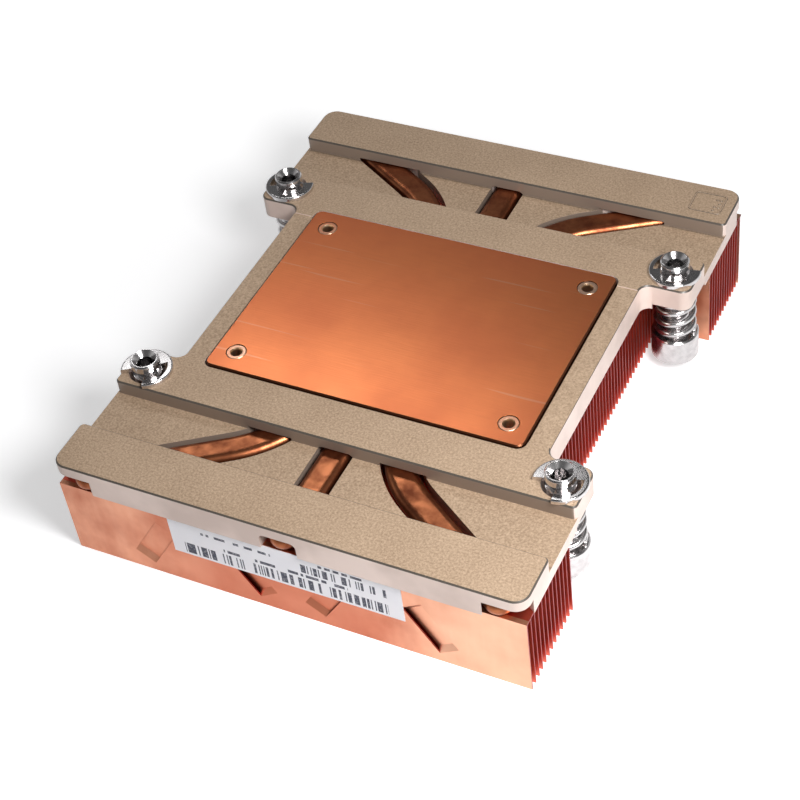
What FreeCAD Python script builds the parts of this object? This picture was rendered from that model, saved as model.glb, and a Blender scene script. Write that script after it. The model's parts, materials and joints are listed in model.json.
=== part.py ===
import FreeCAD, Part
import math
import os
import Sketcher

# Passive heatsink for a rack server's processor, lying as it does on a bench: fins down, contact plate up.
# X runs across the plate, Y runs along it (the fins are stacked along Y) and Z is up.
# The origin is on the plane that the fins stand on, under the middle of the plate.
# All lengths are in millimetres and all angles in degrees.

SIZES = (
    # die-cast carrier plate
    ("plate_x", 100.0),
    ("plate_y", 120.4),
    ("plate_high", 6.25),
    ("plate_corner", 3.0),
    ("plate_bevel", 0.3),
    ("band_wide", 11.8),
    ("channel_wide", 12.4),
    ("channel_deep", 3.25),
    ("channel_corner", 1.0),
    ("ear_reach", 10.0),
    ("ear_wide", 10.4),
    ("ear_corner", 2.2),
    ("ear_thick", 5.0),
    ("ear_relief_in", 2.0),
    ("waist_step_in", 2.1),
    ("waist_step_deep", 0.2),
    # copper contact plate and its rivets
    ("frame_x", 5.0),
    ("frame_y", 10.4),
    ("cold_proud", 0.4),
    ("cold_corner", 1.6),
    ("cold_bevel", 0.25),
    ("cold_gap", 0.35),
    ("rivet_in_x", 4.9),
    ("rivet_in_y", 5.1),
    ("rivet_shank", 1.6),
    ("rivet_bore", 1.15),
    ("rivet_head", 2.1),
    ("rivet_head_high", 0.45),
    ("rivet_flare_high", 0.6),
    ("rivet_sunk", 0.05),
    ("rivet_gap", 0.05),
    # flattened heat pipes
    ("pipe_wide", 6.2),
    ("pipe_thick", 3.4),
    ("pipe_round", 1.6),
    ("pipe_pitch", 9.5),
    ("pipe_bend", 24.0),
    ("pipe_corner", 1.4),
    ("pipe_front_in", 14.5),
    ("pipe_rear_in", 12.8),
    ("pipe_end_gap", 0.15),
    ("slot_gap", 0.8),
    ("slot_over", 0.25),
    ("slot_round", 1.2),
    # stack of folded copper fins
    ("fin_high", 18.95),
    ("fin_thick", 0.3),
    ("fin_pitch", 1.65),
    ("fin_inset", 0.7),
    ("fin_last_fold", 0.65),
    ("fin_head_gap", 1.8),
    ("fin_side_gap", 0.2),
    ("fin_waist_gap", 1.7),
    ("fin_foot_in", 1.5),
    ("lance_wide", 4.9),
    ("lance_long", 12.6),
    ("lance_push", 0.9),
    ("lance_ramp", 1.2),
    ("lance_root", 0.2),
    ("lance_lean", 57.3),
    ("lance_outer_x", 59.8),
    ("lance_inner_x", 17.0),
    ("lance_up", 8.9),
    # captive sprung screws and their retaining clips
    ("screw_in", 4.9),
    ("ear_gap", 0.8),
    ("head_radius", 5.0),
    ("head_low", 2.8),
    ("head_high", 6.8),
    ("head_rim", 0.9),
    ("head_edge", 0.3),
    ("shank_radius", 3.0),
    ("shank_proud", 3.4),
    ("shank_edge", 0.3),
    ("thread_radius", 1.6),
    ("thread_deep", 7.5),
    ("mouth_radius", 2.5),
    ("mouth_deep", 1.1),
    ("drill_tip", 0.9),
    ("groove_radius", 2.15),
    ("groove_gap", 0.05),
    ("groove_slope", 0.7),
    ("recess_long", 4.4),
    ("recess_wide", 1.1),
    ("recess_deep", 2.4),
    ("clip_radius", 5.4),
    ("clip_thick", 1.0),
    ("clip_round", 0.35),
    ("clip_mouth", 80.0),
    ("clip_pocket", 4.4),
    ("clip_pocket_turn", 58.0),
    ("clip_pocket_from_mouth", 118.0),
    ("spring_radius", 4.5),
    ("spring_wire", 1.25),
    ("spring_turns", 2.3),
    ("spring_closed", 0.9),
    ("spring_closed_gap", 0.07),
    # paper label on the front fin
    ("label_x", 50.0),
    ("label_high", 9.9),
    ("label_thick", 0.12),
    ("label_shift", 0.15),
    ("label_drop", 0.1),
)

# Places that follow from the sizes, written as expressions for the document.
PLATE_TOP = "(Sizes.fin_high + Sizes.plate_high)"
SLOT_TOP = "(Sizes.fin_high + Sizes.pipe_thick + Sizes.slot_over)"
EAR_LOW = "(Sizes.fin_high + Sizes.plate_high - Sizes.ear_thick)"
COLD_LOW = "(Sizes.fin_high + Sizes.pipe_thick)"
COLD_TOP = "(Sizes.fin_high + Sizes.plate_high + Sizes.cold_proud)"
BLOCK_Y = "(Sizes.plate_y - 2 * Sizes.band_wide - 2 * Sizes.channel_wide)"
WAIST_X = "(Sizes.plate_x - 2 * Sizes.ear_reach)"
WAIST_Y = f"({BLOCK_Y} - 2 * Sizes.ear_wide)"
COLD_X = f"({WAIST_X} - 2 * Sizes.frame_x)"
COLD_Y = f"({BLOCK_Y} - 2 * Sizes.frame_y)"
RIVET_X = f"({COLD_X} / 2 - Sizes.rivet_in_x)"
RIVET_Y = f"({COLD_Y} / 2 - Sizes.rivet_in_y)"
SCREW_X = "(Sizes.plate_x / 2 - Sizes.screw_in)"
SCREW_Y = f"({BLOCK_Y} / 2 - Sizes.screw_in)"
EAR_HOLE = "(Sizes.shank_radius + Sizes.ear_gap)"
HEAD_TOP = "(Sizes.head_low + Sizes.head_high)"
SCREW_TOP = "(Sizes.fin_high + Sizes.plate_high + Sizes.shank_proud)"
FIN_ROWS = "(floor((Sizes.plate_y - 2 * Sizes.fin_inset) / Sizes.fin_pitch) + 1)"
FIRST_FIN = f"(-({FIN_ROWS} - 1) / 2 * Sizes.fin_pitch)"
END_ROOM = f"(Sizes.plate_y / 2 - {SCREW_Y} - Sizes.head_radius - Sizes.fin_head_gap)"
END_ROWS = f"(floor({END_ROOM} / Sizes.fin_pitch))"
END_FIN_X = "(Sizes.plate_x - 2 * Sizes.fin_side_gap)"
MID_FIN_X = f"({WAIST_X} - 2 * Sizes.fin_waist_gap)"
FIN_FOLD = "(Sizes.fin_pitch - Sizes.fin_thick)"

CORNERS = ((-1, -1), (1, -1), (-1, 1), (1, 1))
CLIP_TURNS = (250.0, 232.0, 62.0, 52.0)
LANCE_SIGNS = (
    (-1, "lance_outer_x", 1),
    (-1, "lance_inner_x", -1),
    (1, "lance_inner_x", 1),
    (1, "lance_outer_x", -1),
)
SPRING_CHORDS = 16
SPRING_SIDES = 8
NEAR = 0.01

doc = FreeCAD.newDocument("ServerHeatsink")
sheet = doc.addObject("Spreadsheet::Sheet", "Sizes")
for row, (alias, size) in enumerate(SIZES, start=1):
    sheet.set(f"A{row}", alias)
    sheet.set(f"B{row}", str(size))
    sheet.setAlias(f"B{row}", alias)
doc.recompute()

sub_parts = []


def number(expression):
    """The value that an expression has now."""
    return float(sheet.evalExpression(expression))


def size(alias):
    return number(f"Sizes.{alias}")


def new_body(node):
    body = doc.addObject("PartDesign::Body", node)
    body.Label = node
    sub_parts.append(body)
    return body


def new_sketch(body, name, plane, lift):
    """A sketch on one of the body's own planes, lifted along that plane's normal."""
    sketch = body.newObject("Sketcher::SketchObject", name)
    support = next(feature for feature in body.Origin.OriginFeatures if feature.Role == plane)
    sketch.AttachmentSupport = [(support, "")]
    sketch.MapMode = "FlatFace"
    sketch.setExpression("AttachmentOffset.Base.z", lift)
    return sketch


def pin_point(sketch, line, point):
    """Dimension one corner of an outline from the sketch's origin."""
    for kind, place in zip(("DistanceX", "DistanceY"), point):
        index = sketch.addConstraint(Sketcher.Constraint(kind, -1, 1, line, 1, number(place)))
        sketch.setExpression(f"Constraints[{index}]", place)


def draw_polygon(sketch, points):
    """A closed outline of straight sides, with every corner dimensioned by expressions."""
    corners = [FreeCAD.Vector(number(across), number(along), 0) for across, along in points]
    first = sketch.GeometryCount
    count = len(corners)
    for index, corner in enumerate(corners):
        sketch.addGeometry(Part.LineSegment(corner, corners[(index + 1) % count]))
    for index in range(count):
        following = first + (index + 1) % count
        sketch.addConstraint(Sketcher.Constraint("Coincident", first + index, 2, following, 1))
    for index, point in enumerate(points):
        pin_point(sketch, first + index, point)


def draw_rectangle(sketch, middle_x, middle_y, wide, long):
    low_x, high_x = f"{middle_x} - ({wide}) / 2", f"{middle_x} + ({wide}) / 2"
    low_y, high_y = f"{middle_y} - ({long}) / 2", f"{middle_y} + ({long}) / 2"
    draw_polygon(sketch, ((low_x, low_y), (high_x, low_y), (high_x, high_y), (low_x, high_y)))


def draw_circle(sketch, middle_x, middle_y, radius):
    centre = FreeCAD.Vector(number(middle_x), number(middle_y), 0)
    circle = sketch.addGeometry(Part.Circle(centre, FreeCAD.Vector(0, 0, 1), number(radius)))
    index = sketch.addConstraint(Sketcher.Constraint("Radius", circle, number(radius)))
    sketch.setExpression(f"Constraints[{index}]", radius)
    for kind, place in (("DistanceX", middle_x), ("DistanceY", middle_y)):
        index = sketch.addConstraint(Sketcher.Constraint(kind, -1, 1, circle, 3, number(place)))
        sketch.setExpression(f"Constraints[{index}]", place)


def pad(body, name, sketch, length):
    feature = body.newObject("PartDesign::Pad", name)
    feature.Profile = sketch
    feature.setExpression("Length", length)
    doc.recompute()
    return feature


def pocket(body, name, sketch, depth, upward=False):
    """Cut from the sketch into the body: downward, or upward from below. It has to take something away."""
    before = body.Shape.Volume
    feature = body.newObject("PartDesign::Pocket", name)
    feature.Profile = sketch
    feature.setExpression("Length", depth)
    feature.Reversed = upward
    doc.recompute()
    if body.Shape.Volume >= before:
        raise RuntimeError(f"{name} cuts nothing")
    return feature


def dress(body, kind, name, size_property, amount, wanted):
    """A fillet or chamfer on every edge that the test picks out."""
    base = body.Tip
    edges = [f"Edge{index}" for index, edge in enumerate(base.Shape.Edges, start=1) if wanted(edge)]
    if not edges:
        raise RuntimeError(f"{name} finds no edges")
    feature = body.newObject(f"PartDesign::{kind}", name)
    feature.Base = (base, edges)
    feature.setExpression(size_property, amount)
    doc.recompute()
    return feature


def is_upright(edge):
    box = edge.BoundBox
    return box.XLength < NEAR and box.YLength < NEAR and box.ZLength > NEAR


def stands_at(edge, half_x, half_y):
    middle = edge.BoundBox.Center
    return abs(abs(middle.x) - half_x) < NEAR and abs(abs(middle.y) - half_y) < NEAR


def is_level(edge, height):
    box = edge.BoundBox
    return abs(box.ZMin - height) < NEAR and abs(box.ZMax - height) < NEAR


def revolve(body, profile):
    """Turn an outline of (radius, height) points about the Z axis."""
    sketch = new_sketch(body, f"{body.Name}_profile", "XZ_Plane", "0")
    draw_polygon(sketch, profile)
    turned = body.newObject("PartDesign::Revolution", f"{body.Name}_turned")
    turned.Profile = sketch
    turned.ReferenceAxis = (sketch, ["V_Axis"])
    turned.Angle = 360
    doc.recompute()
    return turned


def place_at(feature, x, y, z="0"):
    for axis, place in zip("xyz", (x, y, z)):
        feature.setExpression(f"Placement.Base.{axis}", place)


def pipe_run(side, half_wide, overrun=0.0):
    """The outline edges of one heat pipe seen from above, or of the slot that it lies in.

    side is 0 for the straight pipe in the middle, and -1 or 1 for the ones that sweep out to the corners.
    overrun carries both ends on past the plate's outline, square, as a slot needs.
    Without it they are round.
    """
    bend = size("pipe_bend")
    half_y = size("plate_y") / 2
    reach = half_y + overrun if overrun else half_y - size("pipe_end_gap") - half_wide

    def point(x, y):
        return FreeCAD.Vector(side * x if side else x, y, 0)

    def end_of_run(end, offset):
        """One end's bend and slanted stretch, offset across the pipe; it heads for the plate's corner."""
        start = number(BLOCK_Y) / 2 - size("pipe_rear_in" if end > 0 else "pipe_front_in")
        to_x = size("plate_x") / 2 - size("pipe_corner") - size("pipe_pitch") - bend
        to_y = half_y - start
        run = math.sqrt(to_x**2 + to_y**2 - bend**2)
        lean = math.atan2(bend * to_y + run * to_x, run * to_y - bend * to_x)
        centre_x = size("pipe_pitch") + bend
        inner = bend - offset
        turn_x = centre_x - inner * math.cos(lean)
        turn_y = start + inner * math.sin(lean)
        middle_y = start + bend * math.sin(lean)
        run = (reach - middle_y) / math.cos(lean)
        return (
            point(centre_x - inner, end * start),
            point(centre_x - inner * math.cos(lean / 2), end * (start + inner * math.sin(lean / 2))),
            point(turn_x, end * turn_y),
            point(turn_x + run * math.sin(lean), end * (turn_y + run * math.cos(lean))),
        )

    def straight_run(offset):
        return point(offset, -reach), point(offset, reach)

    edges = []
    if side == 0:
        left_front, left_rear = straight_run(-half_wide)
        right_front, right_rear = straight_run(half_wide)
        edges.append(Part.LineSegment(left_front, left_rear))
        edges.append(Part.LineSegment(right_front, right_rear))
        tips = ((left_rear, right_rear, point(0, reach + half_wide)),
                (left_front, right_front, point(0, -reach - half_wide)))
    else:
        sides = {}
        for offset in (-half_wide, half_wide):
            front = end_of_run(-1, offset)
            rear = end_of_run(1, offset)
            edges.append(Part.LineSegment(front[0], rear[0]))
            for base, middle, turned, stop in (front, rear):
                edges.append(Part.Arc(base, middle, turned))
                edges.append(Part.LineSegment(turned, stop))
            sides[offset] = (front[3], rear[3])
        tips = []
        for end in (0, 1):
            inner, outer = sides[-half_wide][end], sides[half_wide][end]
            across = (outer - inner).normalize()
            along = FreeCAD.Vector(-across.y, across.x, 0)
            if along.y * (2 * end - 1) < 0:
                along = along * -1
            tips.append((inner, outer, (inner + outer) * 0.5 + along * half_wide))
    for start, stop, tip in tips:
        edges.append(Part.LineSegment(start, stop) if overrun else Part.Arc(start, tip, stop))
    return edges


def draw_run(sketch, edges):
    for edge in edges:
        sketch.addGeometry(edge)


def draw_arch(sketch, half_wide, low, high, corner):
    """The outline of a slot seen from its end: square at the foot, rounded under its roof."""
    spring = high - corner
    bulge = corner * (1 - math.sqrt(0.5))
    places = ((-half_wide, low), (-half_wide, spring), (-half_wide + corner, high),
              (half_wide - corner, high), (half_wide, spring), (half_wide, low))
    left_foot, left_spring, left_top, right_top, right_spring, right_foot = (
        FreeCAD.Vector(across, up, 0) for across, up in places)
    sketch.addGeometry(Part.LineSegment(right_foot, left_foot))
    sketch.addGeometry(Part.LineSegment(left_foot, left_spring))
    left_middle = FreeCAD.Vector(-half_wide + bulge, high - bulge, 0)
    sketch.addGeometry(Part.Arc(left_spring, left_middle, left_top))
    sketch.addGeometry(Part.LineSegment(left_top, right_top))
    right_middle = FreeCAD.Vector(half_wide - bulge, high - bulge, 0)
    sketch.addGeometry(Part.Arc(right_top, right_middle, right_spring))
    sketch.addGeometry(Part.LineSegment(right_spring, right_foot))


def make_base_plate():
    """Die-cast carrier: two end bands, a middle block with an ear at each corner, and a waist."""
    body = new_body("base_plate")
    blank = new_sketch(body, "plate_outline", "XY_Plane", "Sizes.fin_high")
    draw_rectangle(blank, "0", "0", "Sizes.plate_x", "Sizes.plate_y")
    pad(body, "plate_blank", blank, "Sizes.plate_high")

    waist = new_sketch(body, "waist_outline", "XY_Plane", PLATE_TOP)
    for sign in (-1, 1):
        middle = f"{sign} * (Sizes.plate_x - Sizes.ear_reach) / 2"
        draw_rectangle(waist, middle, "0", "Sizes.ear_reach", WAIST_Y)
    pocket(body, "waist_cut", waist, "Sizes.plate_high")

    half_x, half_y = size("plate_x") / 2, size("plate_y") / 2
    dress(body, "Fillet", "plate_corners", "Radius", "Sizes.plate_corner",
          lambda edge: is_upright(edge) and stands_at(edge, half_x, half_y))
    waist_half_x, waist_half_y = number(WAIST_X) / 2, number(WAIST_Y) / 2
    dress(body, "Fillet", "ear_corners", "Radius", "Sizes.ear_corner",
          lambda edge: is_upright(edge) and (stands_at(edge, half_x, waist_half_y)
                                             or stands_at(edge, waist_half_x, waist_half_y)))

    channels = new_sketch(body, "channel_outline", "XY_Plane", PLATE_TOP)
    for sign in (-1, 1):
        middle = f"{sign} * (Sizes.plate_y / 2 - Sizes.band_wide - Sizes.channel_wide / 2)"
        draw_rectangle(channels, "0", middle, "Sizes.plate_x", "Sizes.channel_wide")
    pocket(body, "channel_cut", channels, "Sizes.channel_deep")
    block_half_y = number(BLOCK_Y) / 2
    band_half_y = block_half_y + size("channel_wide")
    dress(body, "Fillet", "channel_corners", "Radius", "Sizes.channel_corner",
          lambda edge: is_upright(edge) and (stands_at(edge, half_x, block_half_y)
                                             or stands_at(edge, half_x, band_half_y)))

    top = number(PLATE_TOP)
    dress(body, "Chamfer", "plate_edges", "Size", "Sizes.plate_bevel", lambda edge: is_level(edge, top))

    step = new_sketch(body, "waist_step_outline", "XY_Plane", PLATE_TOP)
    draw_rectangle(step, "0", "0", "Sizes.plate_x", f"{WAIST_Y} - 2 * Sizes.waist_step_in")
    pocket(body, "waist_step", step, "Sizes.waist_step_deep")

    window = new_sketch(body, "window_outline", "XY_Plane", PLATE_TOP)
    draw_rectangle(window, "0", "0", f"{COLD_X} + 2 * Sizes.cold_gap", f"{COLD_Y} + 2 * Sizes.cold_gap")
    pocket(body, "window_cut", window, "Sizes.plate_high - Sizes.pipe_thick")
    window_half_x = number(COLD_X) / 2 + size("cold_gap")
    window_half_y = number(COLD_Y) / 2 + size("cold_gap")
    dress(body, "Fillet", "window_corners", "Radius", "Sizes.cold_corner + Sizes.cold_gap",
          lambda edge: is_upright(edge) and stands_at(edge, window_half_x, window_half_y))

    relief = new_sketch(body, "ear_relief_outline", "XY_Plane", "Sizes.fin_high")
    relief_x = "Sizes.ear_reach + Sizes.fin_waist_gap - Sizes.ear_relief_in"
    for sign_x, sign_y in CORNERS:
        middle_x = f"{sign_x} * (Sizes.plate_x / 2 - ({relief_x}) / 2)"
        middle_y = f"{sign_y} * ({BLOCK_Y} - Sizes.ear_wide) / 2"
        draw_rectangle(relief, middle_x, middle_y, relief_x, "Sizes.ear_wide")
    pocket(body, "ear_relief", relief, "Sizes.plate_high - Sizes.ear_thick", upward=True)

    slot_half = size("pipe_wide") / 2 + size("slot_gap")
    for side, name in ((-1, "left"), (1, "right")):
        slot = new_sketch(body, f"{name}_slot_outline", "XY_Plane", "Sizes.fin_high")
        draw_run(slot, pipe_run(side, slot_half, overrun=slot_half))
        pocket(body, f"{name}_slot", slot, f"{SLOT_TOP} - Sizes.fin_high", upward=True)
    arch = new_sketch(body, "middle_slot_outline", "XZ_Plane", "Sizes.plate_y / 2")
    draw_arch(arch, slot_half, size("fin_high"), number(SLOT_TOP), size("slot_round"))
    pocket(body, "middle_slot", arch, "Sizes.plate_y")

    holes = new_sketch(body, "screw_hole_outline", "XY_Plane", PLATE_TOP)
    rivet_holes = new_sketch(body, "rivet_hole_outline", "XY_Plane", PLATE_TOP)
    rivet_flares = new_sketch(body, "rivet_flare_outline", "XY_Plane", "Sizes.fin_high")
    for sign_x, sign_y in CORNERS:
        draw_circle(holes, f"{sign_x} * {SCREW_X}", f"{sign_y} * {SCREW_Y}", EAR_HOLE)
        rivet = (f"{sign_x} * {RIVET_X}", f"{sign_y} * {RIVET_Y}")
        draw_circle(rivet_holes, *rivet, "Sizes.rivet_shank + Sizes.rivet_gap")
        draw_circle(rivet_flares, *rivet, "Sizes.rivet_head + Sizes.rivet_gap")
    pocket(body, "screw_holes", holes, "Sizes.plate_high")
    pocket(body, "rivet_holes", rivet_holes, "Sizes.plate_high")
    pocket(body, "rivet_flares", rivet_flares, "Sizes.rivet_flare_high + Sizes.rivet_gap", upward=True)


def make_cold_plate():
    """Copper contact plate, let into the middle block and riveted to its ledge."""
    body = new_body("cold_plate")
    outline = new_sketch(body, "cold_outline", "XY_Plane", COLD_LOW)
    draw_rectangle(outline, "0", "0", COLD_X, COLD_Y)
    pad(body, "cold_blank", outline, f"{COLD_TOP} - {COLD_LOW}")
    dress(body, "Fillet", "cold_corners", "Radius", "Sizes.cold_corner", is_upright)
    top = number(COLD_TOP)
    dress(body, "Chamfer", "cold_edges", "Size", "Sizes.cold_bevel", lambda edge: is_level(edge, top))
    holes = new_sketch(body, "cold_hole_outline", "XY_Plane", COLD_TOP)
    seats = new_sketch(body, "cold_seat_outline", "XY_Plane", COLD_TOP)
    for sign_x, sign_y in CORNERS:
        rivet = (f"{sign_x} * {RIVET_X}", f"{sign_y} * {RIVET_Y}")
        draw_circle(holes, *rivet, "Sizes.rivet_shank + Sizes.rivet_gap")
        draw_circle(seats, *rivet, "Sizes.rivet_head + Sizes.rivet_gap")
    pocket(body, "cold_holes", holes, f"{COLD_TOP} - {COLD_LOW}")
    pocket(body, "cold_seats", seats, "Sizes.rivet_sunk + Sizes.rivet_head_high")


def make_rivet(index, sign_x, sign_y):
    """Tubular rivet: a flush head in the contact plate, and a flare under the carrier's ledge."""
    body = new_body(f"rivet_{index}")
    low = "Sizes.fin_high + Sizes.rivet_gap"
    high = f"{COLD_TOP} - Sizes.rivet_sunk"
    flare_top = f"{low} + Sizes.rivet_flare_high"
    head_low = f"{high} - Sizes.rivet_head_high"
    revolve(body, (
        ("Sizes.rivet_bore", low),
        ("Sizes.rivet_head", low),
        ("Sizes.rivet_shank", flare_top),
        ("Sizes.rivet_shank", head_low),
        ("Sizes.rivet_head", head_low),
        ("Sizes.rivet_head", f"{high} - Sizes.rivet_head_high / 3"),
        ("Sizes.rivet_head - Sizes.rivet_head_high / 3", high),
        ("Sizes.rivet_bore + Sizes.rivet_head_high / 3", high),
        ("Sizes.rivet_bore", f"{high} - Sizes.rivet_head_high"),
    ))
    place_at(body, f"{sign_x} * {RIVET_X}", f"{sign_y} * {RIVET_Y}")


def make_heat_pipe(node, side):
    """Flattened heat pipe, closed round at both ends, lying between the contact plate and the fins."""
    body = new_body(node)
    sketch = new_sketch(body, f"{node}_outline", "XY_Plane", "Sizes.fin_high")
    draw_run(sketch, pipe_run(side, size("pipe_wide") / 2))
    pad(body, f"{node}_flat", sketch, "Sizes.pipe_thick")
    low, top = size("fin_high"), size("fin_high") + size("pipe_thick")
    dress(body, "Fillet", f"{node}_sides", "Radius", "Sizes.pipe_round",
          lambda edge: is_level(edge, low) or is_level(edge, top))


def add_sheet(body, wide, place, flange):
    """One fin: an upright sheet, folded back along its top and, short of the ends, along its foot."""
    front = f"{place} - Sizes.fin_thick / 2"
    back = f"{place} + Sizes.fin_thick / 2"
    tip = f"{back} + {flange}"
    under = "Sizes.fin_high - Sizes.fin_thick"
    profile = new_sketch(body, f"{body.Name}_profile", "YZ_Plane", f"-({wide}) / 2")
    draw_polygon(profile, (
        (front, "0"), (back, "0"), (back, under), (tip, under),
        (tip, "Sizes.fin_high"), (front, "Sizes.fin_high"),
    ))
    sheet_pad = pad(body, f"{body.Name}_sheet", profile, wide)
    foot_wide = f"({wide}) - 2 * Sizes.fin_foot_in"
    foot = new_sketch(body, f"{body.Name}_foot_profile", "YZ_Plane", f"-({foot_wide}) / 2")
    draw_polygon(foot, ((back, "0"), (tip, "0"), (tip, "Sizes.fin_thick"), (back, "Sizes.fin_thick")))
    foot_pad = pad(body, f"{body.Name}_foot", foot, foot_wide)
    return sheet_pad, foot_pad


def make_fin_pack(node, wide, first, rows):
    """Fins stacked along Y: each one's folds butt against the next sheet, where they are soldered."""
    body = new_body(node)
    place = f"{FIRST_FIN} + ({first}) * Sizes.fin_pitch"
    features = add_sheet(body, wide, place, FIN_FOLD)
    pattern = body.newObject("PartDesign::LinearPattern", f"{node}_rows")
    pattern.Originals = list(features)
    pattern.Direction = (next(f for f in body.Origin.OriginFeatures if f.Role == "Y_Axis"), [""])
    pattern.setExpression("Length", f"({rows} - 1) * Sizes.fin_pitch")
    pattern.setExpression("Occurrences", rows)
    body.Tip = pattern
    doc.recompute()


def add_lance(body, index, place, push, sign, spread, lean):
    """One lanced strip: a slanted window with a bridge across it that is pushed back out of the sheet."""
    lean_expression = f"({lean} * Sizes.lance_lean)"
    middle_x = f"{sign} * Sizes.{spread} / 2"
    along = (f"cos({lean_expression})", f"sin({lean_expression})")
    across = (f"-sin({lean_expression})", f"cos({lean_expression})")
    face = f"-({place}) + Sizes.fin_thick / 2"
    window = new_sketch(body, f"{body.Name}_window_{index}", "XZ_Plane", face)
    corners = []
    for far, wide in ((-1, -1), (1, -1), (1, 1), (-1, 1)):
        corners.append((
            f"{middle_x} + {far} * Sizes.lance_long / 2 * {along[0]}"
            f" + {wide} * Sizes.lance_wide / 2 * {across[0]}",
            f"Sizes.lance_up + {far} * Sizes.lance_long / 2 * {along[1]}"
            f" + {wide} * Sizes.lance_wide / 2 * {across[1]}",
        ))
    draw_polygon(window, corners)
    pocket(body, f"{body.Name}_slit_{index}", window, "Sizes.fin_thick")

    strip = new_sketch(body, f"{body.Name}_strip_{index}", "XZ_Plane", "0")
    half, root = "Sizes.lance_long / 2", "Sizes.lance_long / 2 + Sizes.lance_root"
    flat, skin = "Sizes.lance_long / 2 - Sizes.lance_ramp", "Sizes.fin_thick / 2"
    draw_polygon(strip, (
        (f"-({root})", skin), (f"-{half}", skin), (f"-({flat})", f"{skin} - {push}"),
        (flat, f"{skin} - {push}"), (half, skin), (root, skin),
        (root, f"-{skin}"), (half, f"-{skin}"), (flat, f"-{skin} - {push}"),
        (f"-({flat})", f"-{skin} - {push}"), (f"-{half}", f"-{skin}"), (f"-({root})", f"-{skin}"),
    ))
    angle = math.radians(lean * size("lance_lean"))
    run = FreeCAD.Vector(math.cos(angle), math.sin(angle), 0)
    out = FreeCAD.Vector(0, 0, 1)
    thick = run.cross(out)
    centre = FreeCAD.Vector(number(middle_x), size("lance_up"), -number(place))
    base = centre - thick * (size("lance_wide") / 2)
    strip.setExpression("AttachmentOffset.Base.z", None)
    strip.AttachmentOffset = FreeCAD.Placement(base, FreeCAD.Rotation(run, out, thick, "XYZ"))
    pad(body, f"{body.Name}_bridge_{index}", strip, "Sizes.lance_wide")


def make_outer_fin(node, row, flange, push):
    """The first or last fin of the stack, whose lanced strips can be seen."""
    body = new_body(node)
    place = f"{FIRST_FIN} + ({row}) * Sizes.fin_pitch"
    add_sheet(body, END_FIN_X, place, flange)
    for index, (sign, spread, lean) in enumerate(LANCE_SIGNS, start=1):
        add_lance(body, index, place, push, sign, spread, lean)


def make_screw(index, sign_x, sign_y):
    """Captive screw: a wide driving head, and a shank with a tapped end that stands out above the ear."""
    body = new_body(f"screw_{index}")
    groove_low = f"{PLATE_TOP} - Sizes.groove_gap"
    groove_top = f"{PLATE_TOP} + Sizes.clip_thick + Sizes.groove_gap"
    revolve(body, (
        ("0", "Sizes.head_low"),
        ("Sizes.head_radius - Sizes.head_rim", "Sizes.head_low"),
        ("Sizes.head_radius", "Sizes.head_low + Sizes.head_rim"),
        ("Sizes.head_radius", f"{HEAD_TOP} - Sizes.head_edge"),
        ("Sizes.head_radius - Sizes.head_edge", HEAD_TOP),
        ("Sizes.shank_radius", HEAD_TOP),
        ("Sizes.shank_radius", groove_low),
        ("Sizes.groove_radius", groove_low),
        ("Sizes.groove_radius", groove_top),
        ("Sizes.shank_radius", f"{groove_top} + Sizes.groove_slope"),
        ("Sizes.shank_radius", f"{SCREW_TOP} - Sizes.shank_edge"),
        ("Sizes.shank_radius - Sizes.shank_edge", SCREW_TOP),
        ("Sizes.mouth_radius", SCREW_TOP),
        ("Sizes.thread_radius", f"{SCREW_TOP} - Sizes.mouth_deep"),
        ("Sizes.thread_radius", f"{SCREW_TOP} - Sizes.thread_deep"),
        ("0", f"{SCREW_TOP} - Sizes.thread_deep - Sizes.drill_tip"),
    ))
    cross = new_sketch(body, f"{body.Name}_recess_outline", "XY_Plane", "Sizes.head_low")
    long, wide = "Sizes.recess_long / 2", "Sizes.recess_wide / 2"
    draw_polygon(cross, (
        (f"-{long}", f"-{wide}"), (f"-{wide}", f"-{wide}"), (f"-{wide}", f"-{long}"), (wide, f"-{long}"),
        (wide, f"-{wide}"), (long, f"-{wide}"), (long, wide), (wide, wide),
        (wide, long), (f"-{wide}", long), (f"-{wide}", wide), (f"-{long}", wide),
    ))
    pocket(body, f"{body.Name}_recess", cross, "Sizes.recess_deep", upward=True)
    place_at(body, f"{sign_x} * {SCREW_X}", f"{sign_y} * {SCREW_Y}")


def cylinder(name, radius, height, angle=360.0, turn=0.0):
    feature = doc.addObject("Part::Cylinder", name)
    feature.setExpression("Radius", radius)
    feature.setExpression("Height", height)
    feature.Angle = angle
    feature.Placement = FreeCAD.Placement(FreeCAD.Vector(0, 0, 0), FreeCAD.Vector(0, 0, 1), turn)
    return feature


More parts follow.
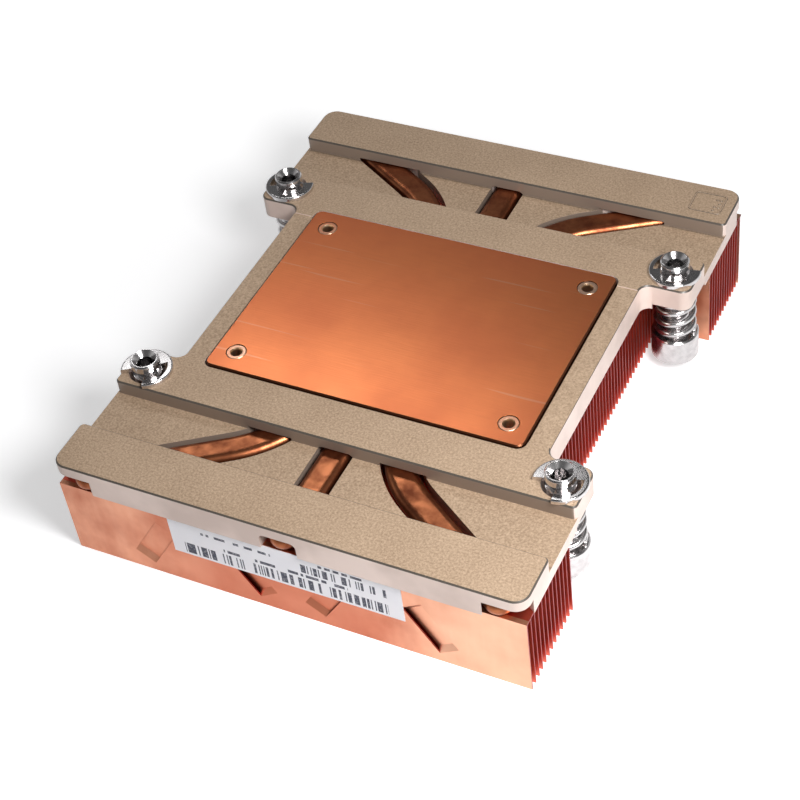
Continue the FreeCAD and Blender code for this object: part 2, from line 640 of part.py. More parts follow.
def make_clip(index, sign_x, sign_y, turn):
    """Retaining E-ring: a plate with a mouth on one side and three prongs into the screw's groove."""
    node = f"clip_{index}"
    blank = cylinder(f"{node}_blank", "Sizes.clip_radius", "Sizes.clip_thick")
    seat = cylinder(f"{node}_seat", "Sizes.groove_radius + Sizes.groove_gap", "Sizes.clip_thick")
    mouth = size("clip_mouth")
    pocket_turn, away = size("clip_pocket_turn"), size("clip_pocket_from_mouth")
    tools = [
        seat,
        cylinder(f"{node}_mouth", "2 * Sizes.clip_radius", "Sizes.clip_thick", mouth, -mouth / 2),
    ]
    for side, sign in (("left", 1), ("right", -1)):
        tools.append(cylinder(f"{node}_{side}_pocket", "Sizes.clip_pocket", "Sizes.clip_thick",
                              pocket_turn, sign * away - pocket_turn / 2))
    cutter = doc.addObject("Part::MultiFuse", f"{node}_cutter")
    cutter.Shapes = tools
    flat = doc.addObject("Part::Cut", f"{node}_flat")
    flat.Base = blank
    flat.Tool = cutter
    doc.recompute()
    rim_edges = []
    for edge_index, edge in enumerate(flat.Shape.Edges, start=1):
        box = edge.BoundBox
        on_rim = all(abs(vertex.Point.x**2 + vertex.Point.y**2 - size("clip_radius")**2) < NEAR
                     for vertex in edge.Vertexes)
        if on_rim and box.ZLength < NEAR and box.ZMin > NEAR:
            rim_edges.append((edge_index, size("clip_round"), size("clip_round")))
    clip = doc.addObject("Part::Fillet", node)
    clip.Base = flat
    clip.Edges = rim_edges
    clip.Label = node
    clip.Placement.Rotation = FreeCAD.Rotation(FreeCAD.Vector(0, 0, 1), turn)
    place_at(clip, f"{sign_x} * {SCREW_X}", f"{sign_y} * {SCREW_Y}", PLATE_TOP)
    sub_parts.append(clip)


def make_spring(index, sign_x, sign_y):
    """Compression spring with closed ends, between the screw's head and the underside of the ear."""
    wire = size("spring_wire")
    coil = size("spring_radius") - wire / 2
    closed, active = size("spring_closed"), size("spring_turns")
    low, high = number(HEAD_TOP) + wire / 2, number(EAR_LOW) - wire / 2
    closed_rise = closed * (wire + size("spring_closed_gap"))
    turns = active + 2 * closed

    def height(turn):
        if turn < closed:
            return low + closed_rise * turn / closed
        if turn > closed + active:
            return high - closed_rise * (turns - turn) / closed
        return low + closed_rise + (high - low - 2 * closed_rise) * (turn - closed) / active

    rings = []
    steps = round(turns * SPRING_CHORDS)
    for step in range(steps + 1):
        turn = turns * step / steps
        angle = 2 * math.pi * turn
        outward = FreeCAD.Vector(math.cos(angle), math.sin(angle), 0)
        middle = outward * coil + FreeCAD.Vector(0, 0, height(turn))
        points = []
        for side in range(SPRING_SIDES + 1):
            roll = 2 * math.pi * (side + 0.5) / SPRING_SIDES
            reach = wire / 2 / math.cos(math.pi / SPRING_SIDES)
            up = FreeCAD.Vector(0, 0, reach * math.sin(roll))
            points.append(middle + outward * (reach * math.cos(roll)) + up)
        points[-1] = points[0]
        rings.append(Part.makePolygon(points))
    spring = doc.addObject("Part::Feature", f"spring_{index}")
    spring.Shape = Part.makeLoft(rings, True, True)
    spring.Label = f"spring_{index}"
    place_at(spring, f"{sign_x} * {SCREW_X}", f"{sign_y} * {SCREW_Y}")
    sub_parts.append(spring)


def make_label():
    """Plain paper label, stuck to the front fin just under the carrier plate."""
    label = doc.addObject("Part::Box", "label")
    label.Label = "label"
    label.setExpression("Length", "Sizes.label_x")
    label.setExpression("Width", "Sizes.label_thick")
    label.setExpression("Height", "Sizes.label_high")
    place_at(label, "-Sizes.label_x / 2 - Sizes.label_shift",
             f"{FIRST_FIN} - Sizes.fin_thick / 2 - Sizes.label_thick",
             "Sizes.fin_high - Sizes.label_drop - Sizes.label_high")
    sub_parts.append(label)


make_base_plate()
make_cold_plate()
for pipe_node, pipe_side in (("heat_pipe_left", -1), ("heat_pipe_middle", 0), ("heat_pipe_right", 1)):
    make_heat_pipe(pipe_node, pipe_side)
make_outer_fin("fin_first", "0", FIN_FOLD, "Sizes.lance_push")
make_fin_pack("fins_front", END_FIN_X, "1", f"{END_ROWS} - 1")
make_fin_pack("fins_middle", MID_FIN_X, END_ROWS, f"{FIN_ROWS} - 2 * {END_ROWS}")
make_fin_pack("fins_rear", END_FIN_X, f"{FIN_ROWS} - {END_ROWS}", f"{END_ROWS} - 1")
make_outer_fin("fin_last", f"{FIN_ROWS} - 1", "Sizes.fin_last_fold", "Sizes.fin_last_fold")
for corner, ((at_x, at_y), clip_turn) in enumerate(zip(CORNERS, CLIP_TURNS), start=1):
    make_rivet(corner, at_x, at_y)
    make_screw(corner, at_x, at_y)
    make_clip(corner, at_x, at_y, clip_turn)
    make_spring(corner, at_x, at_y)
make_label()
doc.recompute()

for feature in doc.Objects:
    if "Invalid" in feature.State or "Error" in feature.State:
        raise RuntimeError(f"{feature.Label} did not recompute: {feature.State}")
os.makedirs("parts", exist_ok=True)
for sub_part in sub_parts:
    shape = sub_part.Shape
    if shape.isNull() or not shape.isValid() or len(shape.Solids) != 1:
        raise RuntimeError(f"{sub_part.Label} is not one valid solid")
    shape.exportStep(f"parts/{sub_part.Label}.step")
    print(f"{sub_part.Label}: {shape.Volume:.1f} mm3")
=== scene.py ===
import json
import math
import bpy
from mathutils import Matrix, Vector


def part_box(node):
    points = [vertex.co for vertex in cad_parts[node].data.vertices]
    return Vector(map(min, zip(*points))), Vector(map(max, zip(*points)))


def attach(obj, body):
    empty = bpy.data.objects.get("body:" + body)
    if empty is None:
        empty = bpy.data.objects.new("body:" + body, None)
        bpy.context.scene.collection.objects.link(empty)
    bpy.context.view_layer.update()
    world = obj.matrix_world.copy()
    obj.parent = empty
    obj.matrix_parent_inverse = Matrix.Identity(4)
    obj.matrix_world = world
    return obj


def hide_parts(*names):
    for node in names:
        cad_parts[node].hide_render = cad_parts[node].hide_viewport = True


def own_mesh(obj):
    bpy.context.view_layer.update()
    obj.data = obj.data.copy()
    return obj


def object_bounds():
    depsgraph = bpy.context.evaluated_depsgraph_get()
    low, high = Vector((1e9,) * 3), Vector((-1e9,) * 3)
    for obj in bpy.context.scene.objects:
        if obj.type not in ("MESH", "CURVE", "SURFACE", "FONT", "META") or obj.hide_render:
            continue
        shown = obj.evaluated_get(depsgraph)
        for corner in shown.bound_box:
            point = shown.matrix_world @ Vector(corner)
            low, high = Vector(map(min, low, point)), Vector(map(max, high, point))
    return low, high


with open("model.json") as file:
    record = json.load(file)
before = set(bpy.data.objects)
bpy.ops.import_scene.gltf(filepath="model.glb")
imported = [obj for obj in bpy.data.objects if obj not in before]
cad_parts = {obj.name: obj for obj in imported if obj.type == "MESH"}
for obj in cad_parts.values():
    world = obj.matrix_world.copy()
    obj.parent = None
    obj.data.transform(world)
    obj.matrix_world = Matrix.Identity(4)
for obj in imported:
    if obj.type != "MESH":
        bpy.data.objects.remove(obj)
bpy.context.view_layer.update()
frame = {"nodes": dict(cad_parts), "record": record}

# The dressed model of a passive server heatsink. Lengths are in metres, in the frame that the solids came in:
# X runs across the carrier plate, Y along it from the labelled fin to the back, and Z is up.
MM = 0.001
CORNERS = (1, 2, 3, 4)
BAND_WIDTH = 11.8 * MM
CHANNEL_WIDTH = 12.4 * MM

plate_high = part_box("base_plate")[1]
label_low, label_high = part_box("label")
front_pack_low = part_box("fins_front")[0]
rear_pack_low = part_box("fins_rear")[0]
# How far the walls of the end bands stand from the middle of the plate. A channel lies inside each of them.
band_wall = plate_high[1] - BAND_WIDTH

# ---------------------------------------------------------------- node helpers


class Surface:
    """A material that is being put together round its Principled shader."""

    def __init__(self, name, metallic=0.0, roughness=0.5):
        self.material = bpy.data.materials.new(name)
        self.material.use_nodes = True
        self.tree = self.material.node_tree
        self.shader = self.tree.nodes["Principled BSDF"]
        self.shader.inputs["Metallic"].default_value = metallic
        self.shader.inputs["Roughness"].default_value = roughness
        self.place = self.node("ShaderNodeTexCoord").outputs["Object"]

    def node(self, kind, **settings):
        node = self.tree.nodes.new(kind)
        for key, value in settings.items():
            setattr(node, key, value)
        return node

    def feed(self, socket, value):
        """Give a socket a plain value or another node's output."""
        if isinstance(value, bpy.types.NodeSocket):
            self.tree.links.new(value, socket)
        elif isinstance(value, tuple) and len(value) == 3 and socket.type == "RGBA":
            socket.default_value = (*value, 1.0)
        else:
            socket.default_value = value

    def compute(self, operation, first, second=0.0, clamp=False):
        node = self.node("ShaderNodeMath", operation=operation, use_clamp=clamp)
        self.feed(node.inputs[0], first)
        self.feed(node.inputs[1], second)
        return node.outputs[0]

    def stretched(self, stretch, turn=0.0):
        """Coordinates that are squeezed along the axes, after a turn about Z."""
        mapping = self.node("ShaderNodeMapping")
        self.feed(mapping.inputs["Vector"], self.place)
        mapping.inputs["Rotation"].default_value = (0, 0, turn)
        mapping.inputs["Scale"].default_value = stretch
        return mapping.outputs["Vector"]

    def noise(self, size, detail=2.0, stretch=None, turn=0.0, rough=0.5):
        """Soft noise whose blotches are about size metres across."""
        node = self.node("ShaderNodeTexNoise")
        vector = self.stretched(stretch, turn) if stretch else self.place
        self.feed(node.inputs["Vector"], vector)
        node.inputs["Scale"].default_value = 1.0 / size
        node.inputs["Detail"].default_value = detail
        node.inputs["Roughness"].default_value = rough
        return node.outputs[0]

    def spread(self, value, low, high, to_low=0.0, to_high=1.0):
        """Map low to high onto to_low to to_high, held at both ends."""
        node = self.node("ShaderNodeMapRange")
        node.clamp = True
        limits = (("From Min", low), ("From Max", high), ("To Min", to_low), ("To Max", to_high))
        for name, number in limits:
            node.inputs[name].default_value = number
        self.feed(node.inputs["Value"], value)
        return node.outputs["Result"]

    def mix(self, factor, first, second):
        node = self.node("ShaderNodeMix", data_type="RGBA")
        self.feed(node.inputs["Factor"], factor)
        self.feed(node.inputs["A"], first)
        self.feed(node.inputs["B"], second)
        return node.outputs["Result"]

    def bump(self, height, depth, normal=None):
        node = self.node("ShaderNodeBump")
        node.inputs["Distance"].default_value = depth
        self.feed(node.inputs["Height"], height)
        if normal is not None:
            self.feed(node.inputs["Normal"], normal)
        return node.outputs["Normal"]

    def split(self, vector):
        node = self.node("ShaderNodeSeparateXYZ")
        self.feed(node.inputs[0], vector)
        return node.outputs

    def facing(self, axis=2, start=0.6, full=0.9):
        """1 on faces that look along an axis or back along it, and 0 on faces that lie along it."""
        normal = self.node("ShaderNodeTexCoord").outputs["Normal"]
        return self.spread(self.compute("ABSOLUTE", self.split(normal)[axis]), start, full)

    def inside(self, value, low, high):
        """1 where the value lies between low and high, else 0."""
        node = self.node("ShaderNodeMath", operation="COMPARE")
        self.feed(node.inputs[0], value)
        node.inputs[1].default_value = (low + high) / 2
        node.inputs[2].default_value = (high - low) / 2
        return node.outputs[0]

    def all_of(self, first, *others):
        for other in others:
            first = self.compute("MULTIPLY", first, other)
        return first

    def soft_edges(self, radius):
        """A normal that rounds the edges of the mesh off a little."""
        node = self.node("ShaderNodeBevel")
        node.samples = 4
        node.inputs["Radius"].default_value = radius
        return node.outputs["Normal"]

    def set(self, **inputs):
        for name, value in inputs.items():
            self.feed(self.shader.inputs[name.replace("_", " ")], value)
        return self.material


# ---------------------------------------------------------------- materials

CAST_LIGHT = (0.60, 0.435, 0.30)
CAST_DARK = (0.30, 0.20, 0.125)
# The next colour is painted shade, for the bevels and creases of the cast.
CAST_PAINTED_SHADE = (0.10, 0.085, 0.07)
WALL_LIGHT = (0.80, 0.65, 0.58)
WALL_DARK = (0.62, 0.49, 0.43)
WALL_INNER = (0.26, 0.20, 0.16)
COPPER = (0.93, 0.29, 0.115)
COPPER_WORN = (0.74, 0.21, 0.09)
COPPER_PALE = (0.90, 0.62, 0.46)
# The next colour is painted shade for the cold plate's sides, and the one after it painted light for the
# rivets' sides and bores.
COPPER_SIDE_SHADE = (0.16, 0.06, 0.03)
RIVET_SIDE_LIGHT = (0.85, 0.62, 0.42)
PIPE_BRIGHT = (0.46, 0.16, 0.07)
PIPE_DARK = (0.20, 0.055, 0.025)
FIN_LIGHT = (0.84, 0.40, 0.25)
FIN_DARK = (0.52, 0.17, 0.09)
FIN_STREAK = (0.96, 0.58, 0.42)
# The next four colours are painted light and shade: a shade stretch and a highlight on the outer fins, shade
# between the sheets, and shade on the cut edges.
FIN_PAINTED_SHADE = (0.57, 0.17, 0.09)
FIN_PAINTED_HIGHLIGHT = (0.92, 0.58, 0.40)
FIN_SHADE_BETWEEN = (0.74, 0.14, 0.09)
FIN_EDGE_SHADE = (0.34, 0.025, 0.035)
NICKEL = (0.74, 0.72, 0.72)
NICKEL_DULL = (0.58, 0.56, 0.56)
PAPER = (0.88, 0.88, 0.93)
PAPER_CLEAN = (0.93, 0.92, 0.95)
INK = (0.035, 0.04, 0.07)
FLOOR_COLOUR = (0.86, 0.86, 0.87)
WHITE = (1.0, 1.0, 1.0)


def cast_material():
    """Blasted tops with a warm grain, smooth pale walls, darker walls in the channels, and painted shade on
    the bevels and in the creases.
    """
    surface = Surface("cast_carrier", metallic=0.1)
    level = surface.facing(2, 0.75, 0.95)
    upright = surface.compute("SUBTRACT", 1.0, surface.facing(2, 0.2, 0.4))
    grain = surface.noise(0.45 * MM, detail=3.0, rough=0.75)
    patches = surface.noise(11 * MM, detail=3.0)
    tone = surface.compute("ADD", surface.spread(grain, 0.34, 0.66, 0.0, 0.85),
                           surface.spread(patches, 0.3, 0.7, 0.0, 0.15))
    tops = surface.mix(tone, CAST_DARK, CAST_LIGHT)
    walls = surface.mix(surface.spread(patches, 0.35, 0.65), WALL_DARK, WALL_LIGHT)
    across, along = (surface.compute("ABSOLUTE", surface.split(surface.place)[axis]) for axis in (0, 1))
    block_wall = band_wall - CHANNEL_WIDTH
    in_channel = surface.all_of(surface.inside(along, block_wall - 1.0 * MM, band_wall + 0.6 * MM),
                                surface.inside(across, 0.0, plate_high[0] - 0.5 * MM))
    walls = surface.mix(in_channel, walls, WALL_INNER)
    # A line of painted shade in the crease at the foot of each band wall.
    painted_crease_shade = surface.inside(along, band_wall - 0.45 * MM, band_wall + 0.05 * MM)
    tops = surface.mix(surface.compute("MULTIPLY", painted_crease_shade, 0.55), tops, CAST_PAINTED_SHADE)
    # Bevels, which are neither level nor upright, take painted shade.
    colour = surface.mix(level, surface.mix(upright, CAST_PAINTED_SHADE, walls), tops)
    roughness = surface.spread(level, 0.0, 1.0, 0.36, 0.5)
    height = surface.compute("MULTIPLY", grain, surface.spread(level, 0.0, 1.0, 0.1, 1.0))
    normal = surface.bump(height, 0.10 * MM, surface.soft_edges(0.12 * MM))
    return surface.set(Base_Color=colour, Roughness=roughness, Normal=normal)


def contact_material(name, bright, worn, painted_side_tone):
    """Bare copper, rubbed along one way, with darker patches, a few pale scratches, and a painted tone on its
    sides: painted shade on the cold plate, painted light on the rivets.
    """
    surface = Surface(name, metallic=1.0)
    patches = surface.noise(22 * MM, detail=4.0)
    rub = surface.noise(0.35 * MM, detail=2.0, stretch=(0.05, 1.0, 1.0), turn=math.radians(35))
    colour = surface.mix(surface.spread(patches, 0.35, 0.7), bright, worn)
    colour = surface.mix(surface.spread(rub, 0.35, 0.75, 0.0, 0.18), colour, worn)
    for turn in (-60, 8):
        scratch = surface.noise(1.2 * MM, detail=1.0, stretch=(0.03, 1.0, 1.0),
                                turn=math.radians(turn))
        colour = surface.mix(surface.spread(scratch, 0.73, 0.77, 0.0, 0.25), colour, COPPER_PALE)
    # Faces that are not level take the painted side tone: painted shade on the cold plate, painted light on
    # the rivets.
    colour = surface.mix(surface.facing(2, 0.75, 0.95), painted_side_tone, colour)
    roughness = surface.spread(patches, 0.3, 0.7, 0.31, 0.37)
    normal = surface.bump(rub, 0.012 * MM, surface.soft_edges(0.15 * MM))
    return surface.set(Base_Color=colour, Roughness=roughness, Normal=normal)


def pipe_material():
    """Darkened copper tube with smears of brighter metal."""
    surface = Surface("pipe_copper", metallic=1.0)
    patches = surface.noise(3 * MM, detail=4.0)
    colour = surface.mix(surface.spread(patches, 0.35, 0.7), PIPE_BRIGHT, PIPE_DARK)
    return surface.set(Base_Color=colour, Roughness=surface.spread(patches, 0.3, 0.7, 0.3, 0.42))


# Stretches of the outer fins along X: where their painted shade sets in, where it ends, and where their
# painted highlight sets in.
SHADE_STRETCH_RISE = (-38 * MM, -16 * MM)
SHADE_STRETCH_FALL = (14 * MM, 30 * MM)
HIGHLIGHT_STRETCH_RISE = (20 * MM, 36 * MM)


def fin_material():
    """Copper sheet with dark red painted shade on its cut edges. The outer fins carry a painted shade and a
    pale painted highlight, the others red painted shade.
    """
    surface = Surface("fin_copper", metallic=0.95)
    patches = surface.noise(12 * MM, detail=4.0)
    streaks = surface.noise(2 * MM, detail=3.0, stretch=(1.0, 1.0, 0.15))
    flats = surface.mix(surface.spread(patches, 0.35, 0.7), FIN_LIGHT, FIN_DARK)
    flats = surface.mix(surface.spread(streaks, 0.4, 0.8, 0.0, 0.2), flats, FIN_STREAK)
    column, row = surface.split(surface.place)[:2]
    first_buried = front_pack_low[1] - 0.6 * MM
    buried = surface.inside(row, first_buried, -first_buried)
    outer = surface.compute("SUBTRACT", 1.0, buried)
    # Painted shade on a middle stretch of the outer fins.
    painted_shade = surface.all_of(outer, surface.spread(column, *SHADE_STRETCH_RISE, 0.0, 0.8),
                             surface.spread(column, *SHADE_STRETCH_FALL, 1.0, 0.0))
    flats = surface.mix(painted_shade, flats, FIN_PAINTED_SHADE)
    # A painted highlight on the outer fins, growing towards +X.
    pale = surface.all_of(outer, surface.spread(column, *HIGHLIGHT_STRETCH_RISE, 0.0, 0.5))
    flats = surface.mix(pale, flats, FIN_PAINTED_HIGHLIGHT)
    # The front sheet of the rear pack shows beside the back screws, so it stays bright, without the painted
    # shade between the sheets.
    open_fin = surface.inside(row, rear_pack_low[1] - 0.1 * MM, rear_pack_low[1] + 0.1 * MM)
    # Painted deep red shade on the sheets that lie between others.
    painted_deep_shade = surface.compute("SUBTRACT", buried, open_fin, clamp=True)
    flats = surface.mix(painted_deep_shade, flats, FIN_SHADE_BETWEEN)
    # Painted dark red shade on the sheets' cut edges, for the grooves between the sheets.
    colour = surface.mix(surface.facing(0), flats, FIN_EDGE_SHADE)
    return surface.set(Base_Color=colour, Roughness=surface.spread(patches, 0.3, 0.7, 0.3, 0.42))


def nickel_material(name, roughness):
    """Bright plating with faint duller patches."""
    surface = Surface(name, metallic=1.0)
    patches = surface.noise(1.5 * MM, detail=3.0)
    colour = surface.mix(surface.spread(patches, 0.35, 0.7), NICKEL, NICKEL_DULL)
    rough = surface.spread(patches, 0.3, 0.7, roughness, roughness + 0.08)
    return surface.set(Base_Color=colour, Roughness=rough, Normal=surface.soft_edges(0.12 * MM))


# Rows on the label, in millimetres from its lower left corner: left and right end, foot and head, and the
# width of the cells. Each cell is marked or left bare by chance, and a set ends with the share left bare.
BARS = (((2.8, 46.8, 0.6, 3.5, 0.27), (28.9, 46.8, 5.4, 7.7, 0.27)), 0.5)
DASHES = (((11.8, 38.6, 4.1, 4.9, 0.55), (6.8, 22.5, 7.2, 7.9, 0.6), (32.8, 42.1, 8.2, 8.9, 0.6)), 0.38)


def label_material():
    """Matt paper with rows of plain bars and dashes that spell nothing."""
    surface = Surface("label_paper", roughness=0.5)
    across, up = (surface.spread(surface.split(surface.place)[axis], label_low[axis], label_high[axis],
                                 0.0, (label_high[axis] - label_low[axis]) / MM) for axis in (0, 2))
    ink = 0.0
    for rows, bare in (BARS, DASHES):
        for left, right, foot, head, width in rows:
            cell = surface.compute("FLOOR", surface.compute("DIVIDE", across, width))
            chance = surface.node("ShaderNodeTexWhiteNoise", noise_dimensions="1D")
            surface.feed(chance.inputs["W"], surface.compute("ADD", cell, foot * 100))
            marked = surface.compute("GREATER_THAN", chance.outputs["Value"], bare)
            row = surface.all_of(marked, surface.inside(across, left, right),
                                 surface.inside(up, foot, head))
            ink = surface.compute("MAXIMUM", row, ink)
    worn = surface.noise(0.5 * MM, detail=3.0)
    ink = surface.compute("MULTIPLY", ink, surface.spread(worn, 0.3, 0.5, 0.7, 1.0))
    paper = surface.mix(surface.noise(4 * MM), PAPER, PAPER_CLEAN)
    colour = surface.mix(ink, paper, INK)
    return surface.set(Base_Color=colour, Normal=surface.bump(worn, 0.01 * MM))


materials = {
    "cast_carrier": cast_material(),
    "contact_copper": contact_material("contact_copper", COPPER, COPPER_WORN, COPPER_SIDE_SHADE),
    "rivet_copper": contact_material("rivet_copper", COPPER_PALE, COPPER, RIVET_SIDE_LIGHT),
    "pipe_copper": pipe_material(),
    "fin_copper": fin_material(),
    "screw_steel": nickel_material("screw_steel", 0.14),
    "clip_steel": nickel_material("clip_steel", 0.12),
    "spring_steel": nickel_material("spring_steel", 0.18),
    "label_paper": label_material(),
}

slot_of = {part["node"]: part["material_slot"] for part in frame["record"]["subparts"]}
for node_name, node_object in frame["nodes"].items():
    for slot in node_object.material_slots:
        slot.material = materials[slot_of[node_name]]

# ---------------------------------------------------------------- pieces


def add_piece(name, verts, faces, material, body="heatsink", smooth=False):
    mesh = bpy.data.meshes.new(name)
    mesh.from_pydata(verts, [], faces)
    mesh.materials.append(materials[material])
    for polygon in mesh.polygons:
        polygon.use_smooth = smooth
    piece = bpy.data.objects.new(name, mesh)
    bpy.context.scene.collection.objects.link(piece)
    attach(piece, body)
    return piece


# The solids' springs: wire, active turns, closed turns at each end and the rise in one closed turn.
# The coils are smoother: they have this many chords in a turn and sides round the wire.
SPRING_WIRE = 1.25 * MM
SPRING_ACTIVE = 2.3
SPRING_CLOSED = 0.9
CLOSED_PITCH = 1.32 * MM
COIL_CHORDS = 44
COIL_SIDES = 14


def add_spring(corner):
    """A smooth coil in place of the solid's faceted one, with the same turns."""
    node = f"spring_{corner}"
    low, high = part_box(node)
    middle = Vector(((low[0] + high[0]) / 2, (low[1] + high[1]) / 2, 0))
    radius = (high[1] - low[1] - SPRING_WIRE) / 2
    reach = SPRING_WIRE / 2
    foot, head = low[2] + reach, high[2] - reach
    turns = SPRING_ACTIVE + 2 * SPRING_CLOSED
    rise = SPRING_CLOSED * CLOSED_PITCH

    def height(turn):
        if turn < SPRING_CLOSED:
            return foot + rise * turn / SPRING_CLOSED
        if turn > SPRING_CLOSED + SPRING_ACTIVE:
            return head - rise * (turns - turn) / SPRING_CLOSED
        return foot + rise + (head - foot - 2 * rise) * (turn - SPRING_CLOSED) / SPRING_ACTIVE

    steps, sides = round(turns * COIL_CHORDS), COIL_SIDES
    verts = []
    for step in range(steps + 1):
        turn = turns * step / steps
        angle = 2 * math.pi * turn
        outward = Vector((math.cos(angle), math.sin(angle), 0))
        for side in range(sides):
            roll = 2 * math.pi * side / sides
            verts.append(middle + outward * (radius + reach * math.cos(roll))
                         + Vector((0, 0, height(turn) + reach * math.sin(roll))))
    faces = [(step * sides + side, step * sides + (side + 1) % sides,
              (step + 1) * sides + (side + 1) % sides, (step + 1) * sides + side)
             for step in range(steps) for side in range(sides)]
    faces.append(tuple(reversed(range(sides))))
    faces.append(tuple(range(steps * sides, (steps + 1) * sides)))
    coil = add_piece(f"coil_{corner}", verts, faces, "spring_steel", smooth=True)
    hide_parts(node)
    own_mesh(coil)


for spring_corner in CORNERS:
    add_spring(spring_corner)


STAMP_SUNK = -0.02 * MM
STAMP_CORNER_STEPS = 6
# The dots stand on a grid, which starts near the frame's front right corner.
DOT_PLACES = ((0, 0), (0, 1), (0, 3), (1, 1), (1, 2), (1, 3))
DOT_START = (1.9 * MM, 1.2 * MM)
DOT_PITCH = (0.8 * MM, 1.15 * MM)
DOT_SIDES = 12
DOT_TOP = 0.16 * MM
# The rings round a dot's top: how wide and how high.
DOT_RINGS = ((0.2 * MM, 0.12 * MM), (0.34 * MM, STAMP_SUNK))


def add_stamp():
    """A cast frame near the plate's back right corner, with a few raised dots and nothing written in it."""
    top = plate_high[2]
    left, right = plate_high[0] - 9.4 * MM, plate_high[0] - 2.2 * MM
    front, back = plate_high[1] - 9.0 * MM, plate_high[1] - 2.5 * MM
    round_off, wide, high, foot = 0.9 * MM, 0.45 * MM, 0.14 * MM, 0.12 * MM

    def ring(inset, lift):
        points = []
        corner_radius = round_off - inset
        for quarter, (x, y) in enumerate(((right, back), (left, back), (left, front), (right, front))):
            centre_x = x - round_off if x == right else x + round_off
            centre_y = y - round_off if y == back else y + round_off
            for step in range(STAMP_CORNER_STEPS + 1):
                angle = math.pi / 2 * (quarter + step / STAMP_CORNER_STEPS)
                points.append((centre_x + corner_radius * math.cos(angle),
                               centre_y + corner_radius * math.sin(angle), top + lift))
        return points

    rings = (ring(0, STAMP_SUNK), ring(foot, high), ring(wide - foot, high), ring(wide, STAMP_SUNK))
    count = len(rings[0])
    verts = [point for loop in rings for point in loop]
    faces = [(loop * count + index, loop * count + (index + 1) % count,
              (loop + 1) * count + (index + 1) % count, (loop + 1) * count + index)
             for loop in range(len(rings) - 1) for index in range(count)]
    add_piece("stamp_frame", verts, faces, "cast_carrier", smooth=True)
    around = DOT_SIDES
    for index, (column, row) in enumerate(DOT_PLACES, start=1):
        centre = Vector((right - DOT_START[0] + DOT_PITCH[0] * column,
                         front + DOT_START[1] + DOT_PITCH[1] * row, top))
        dome = [centre + Vector((0, 0, DOT_TOP))]
        for reach, lift in DOT_RINGS:
            for step in range(around):
                angle = 2 * math.pi * step / around
                dome.append(centre + Vector((math.cos(angle) * reach, math.sin(angle) * reach, lift)))
        skin = [(0, 1 + step, 1 + (step + 1) % around) for step in range(around)]
        skin += [(1 + step, 1 + around + step, 1 + around + (step + 1) % around, 1 + (step + 1) % around)
                 for step in range(around)]
        add_piece(f"stamp_dot_{index}", dome, skin, "cast_carrier", smooth=True)


add_stamp()

# ---------------------------------------------------------------- camera, lights and floor

AIM = Vector((7.4 * MM, -21.5 * MM, 25.2 * MM))
CAMERA_AZIMUTH = math.radians(31.51)
CAMERA_ELEVATION = math.radians(44.51)
CAMERA_ROLL = math.radians(-8.46)
CAMERA_DISTANCE = 359.75 * MM
CAMERA_LENS = 82.87


def direction(azimuth, elevation):
    """A unit vector from the object: azimuth 0 is in front of it, and it grows towards +X."""
    level = math.cos(elevation)
    return Vector((math.sin(azimuth) * level, -math.cos(azimuth) * level, math.sin(elevation)))


def add_camera():
    camera = bpy.data.objects.new("camera", bpy.data.cameras.new("camera"))
    camera.data.lens = CAMERA_LENS
    camera.data.sensor_width = 36.0
    camera.data.clip_start = 0.01
    away = direction(CAMERA_AZIMUTH, CAMERA_ELEVATION)
    place = Matrix.Translation(AIM + away * CAMERA_DISTANCE)
    facing = (-away).to_track_quat("-Z", "Y").to_matrix().to_4x4()
    camera.matrix_world = place @ facing @ Matrix.Rotation(CAMERA_ROLL, 4, "Z")
    bpy.context.scene.collection.objects.link(camera)
    bpy.context.scene.camera = camera


def add_area_light(name, azimuth, elevation, distance, wide, high, power):
    """An oval lamp that faces AIM. Its width lies along X, as far as facing AIM allows."""
    lamp = bpy.data.lights.new(name, "AREA")
    lamp.shape = "ELLIPSE"
    lamp.size = wide
    lamp.size_y = high
    lamp.energy = power
    light = bpy.data.objects.new(name, lamp)
    away = direction(math.radians(azimuth), math.radians(elevation))
    across = (Vector((1, 0, 0)) - away * away.x).normalized()
    turned = Matrix((across, away.cross(across), away)).transposed().to_4x4()
    light.matrix_world = Matrix.Translation(AIM + away * distance) @ turned
    bpy.context.scene.collection.objects.link(light)


# The floor's own glow: how strong the camera sees it near the object and far off, where near ends and far
# begins, and how strong the metal mirrors it.
FLOOR_SEEN = (0.45, 1.0)
FLOOR_FADE = (0.08, 0.25)
FLOOR_MIRRORED = 0.25
FLOOR_HALF = 4.0
FLOOR_GAP = 0.05 * MM


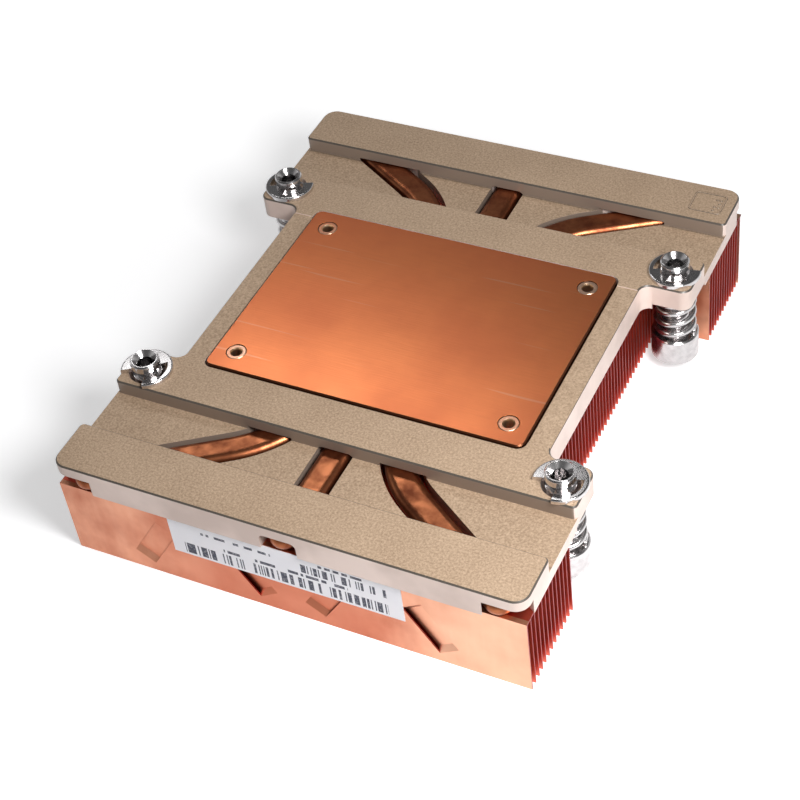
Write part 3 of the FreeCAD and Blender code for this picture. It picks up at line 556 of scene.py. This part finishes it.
def add_floor():
    """A pale floor that keeps the object's shadow and turns white away from it."""
    surface = Surface("floor", roughness=0.9)
    surface.set(Base_Color=FLOOR_COLOUR)
    glow = surface.node("ShaderNodeEmission")
    surface.feed(glow.inputs["Color"], WHITE)
    path = surface.node("ShaderNodeLightPath")
    reach = surface.node("ShaderNodeVectorMath", operation="LENGTH")
    surface.feed(reach.inputs[0], surface.place)
    fade = surface.spread(reach.outputs["Value"], *FLOOR_FADE, *FLOOR_SEEN)
    seen = surface.compute("MULTIPLY", path.outputs["Is Camera Ray"], fade)
    mirrored = surface.compute("MULTIPLY", path.outputs["Is Glossy Ray"], FLOOR_MIRRORED)
    surface.feed(glow.inputs["Strength"], surface.compute("ADD", seen, mirrored))
    total = surface.node("ShaderNodeAddShader")
    surface.feed(total.inputs[0], surface.shader.outputs[0])
    surface.feed(total.inputs[1], glow.outputs[0])
    output = next(node for node in surface.tree.nodes if node.type == "OUTPUT_MATERIAL")
    surface.tree.links.new(total.outputs[0], output.inputs["Surface"])
    mesh = bpy.data.meshes.new("floor")
    corners = [(x * FLOOR_HALF, y * FLOOR_HALF, 0) for x, y in ((-1, -1), (1, -1), (1, 1), (-1, 1))]
    mesh.from_pydata(corners, [], [(0, 1, 2, 3)])
    floor = bpy.data.objects.new("floor", mesh)
    floor.location.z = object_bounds()[0][2] - FLOOR_GAP
    mesh.materials.append(surface.material)
    bpy.context.scene.collection.objects.link(floor)


# How bright the room is: sines of the elevation, from 0 to 1, and the brightness at each of them.
ROOM = ((0.0, 0.80), (0.3, 0.45), (0.5, 0.10), (1.0, 0.08))


def set_world():
    """White to the camera. The object sees a pale room that is brightest low down and dim overhead."""
    world = bpy.data.worlds.new("studio")
    world.use_nodes = True
    tree = world.node_tree
    back = tree.nodes["Background"]
    path = tree.nodes.new("ShaderNodeLightPath")
    place = tree.nodes.new("ShaderNodeTexCoord")
    split = tree.nodes.new("ShaderNodeSeparateXYZ")
    tree.links.new(place.outputs["Generated"], split.inputs[0])
    ramp = tree.nodes.new("ShaderNodeValToRGB")
    ramp.color_ramp.interpolation = "EASE"
    stops = ramp.color_ramp.elements
    for height, _ in ROOM[1:-1]:
        stops.new(height)
    for stop, (_, level) in zip(stops, ROOM):
        stop.color = (level, level, level, 1.0)
    tree.links.new(split.outputs["Z"], ramp.inputs["Fac"])
    strength = tree.nodes.new("ShaderNodeMix")
    strength.data_type = "FLOAT"
    tree.links.new(path.outputs["Is Camera Ray"], strength.inputs["Factor"])
    tree.links.new(ramp.outputs["Color"], strength.inputs["A"])
    strength.inputs["B"].default_value = 1.0
    tree.links.new(strength.outputs["Result"], back.inputs["Strength"])
    back.inputs["Color"].default_value = (*WHITE, 1.0)
    bpy.context.scene.world = world


add_camera()
add_area_light("key", azimuth=62, elevation=47, distance=0.21, wide=0.09, high=0.09, power=0.58)
add_area_light("window", azimuth=-141, elevation=49, distance=0.28, wide=0.18, high=0.04, power=0.084)
add_floor()
set_world()
bpy.context.scene.view_settings.view_transform = "Standard"
